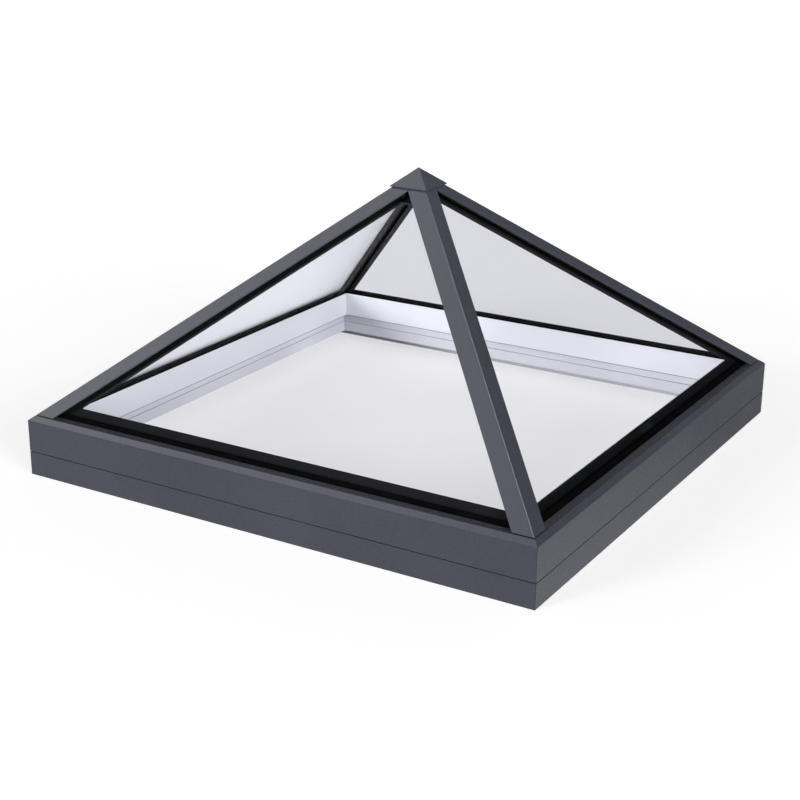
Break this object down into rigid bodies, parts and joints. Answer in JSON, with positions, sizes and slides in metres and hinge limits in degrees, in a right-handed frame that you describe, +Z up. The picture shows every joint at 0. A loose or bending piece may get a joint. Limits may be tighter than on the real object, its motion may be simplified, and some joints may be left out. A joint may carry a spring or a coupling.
{
  "type": "roof skylight",
  "caption": "Fixed square pyramid rooflight with sloping double glazing, dark hip caps, an apex cap and a mitred frame that fits over an upstand kerb.",
  "frame": {"origin": "middle of the square on which the skirt stands, at the skirt's foot", "axes": "+X along the front side, +Y from the front side to the back, +Z up"},
  "size_m": [1, 1, 0.5217],
  "materials": {
    "anthracite": "fine-textured powder coat",
    "white_frame": "satin white extrusion",
    "clear_glass": "clear float glass",
    "black_edging": "black fired-on print",
    "spacer_black": "matt black",
    "mill_aluminium": "mill finish",
    "black_anodised": "black anodised",
    "bright_steel": "bright zinc",
    "black_rubber": "matt rubber"
  },
  "bodies": {
    "root": {"apex_bolt": "bright_steel", "apex_cap": "anthracite", "apex_hub": "black_anodised", "apex_seal": "black_rubber", "base_rail_back": "white_frame", "base_rail_front": "white_frame", "base_rail_left": "white_frame", "base_rail_right": "white_frame", "bed_gaskets": "black_rubber", "corner_keys": "mill_aluminium", "eaves_beam_back": "white_frame", "eaves_beam_front": "white_frame", "eaves_beam_left": "white_frame", "eaves_beam_right": "white_frame", "eaves_cover_back": "anthracite", "eaves_cover_front": "anthracite", "eaves_cover_left": "anthracite", "eaves_cover_right": "anthracite", "eaves_gaskets": "black_rubber", "hip_bar_back_left": "black_anodised", "hip_bar_back_right": "black_anodised", "hip_bar_front_left": "black_anodised", "hip_bar_front_right": "black_anodised", "hip_cap_back_left": "anthracite", "hip_cap_back_right": "anthracite", "hip_cap_front_left": "anthracite", "hip_cap_front_right": "anthracite", "hip_gaskets": "black_rubber", "hip_joint_seals": "black_rubber", "hip_plate_back_left": "black_anodised", "hip_plate_back_right": "black_anodised", "hip_plate_front_left": "black_anodised", "hip_plate_front_right": "black_anodised", "hip_screws": "bright_steel", "inner_liner_back": "white_frame", "inner_liner_front": "white_frame", "inner_liner_left": "white_frame", "inner_liner_right": "white_frame", "inner_pane_back": "clear_glass", "inner_pane_front": "clear_glass", "inner_pane_left": "clear_glass", "inner_pane_right": "clear_glass", "kerb_seal": "black_rubber", "outer_pane_back": "clear_glass", "outer_pane_front": "clear_glass", "outer_pane_left": "clear_glass", "outer_pane_right": "clear_glass", "pane_border_back": "black_edging", "pane_border_front": "black_edging", "pane_border_left": "black_edging", "pane_border_right": "black_edging", "setting_blocks": "black_rubber", "skirt_back": "anthracite", "skirt_front": "anthracite", "skirt_left": "anthracite", "skirt_right": "anthracite", "spacer_back": "spacer_black", "spacer_front": "spacer_black", "spacer_left": "spacer_black", "spacer_right": "spacer_black"}
  },
  "joints": []
}
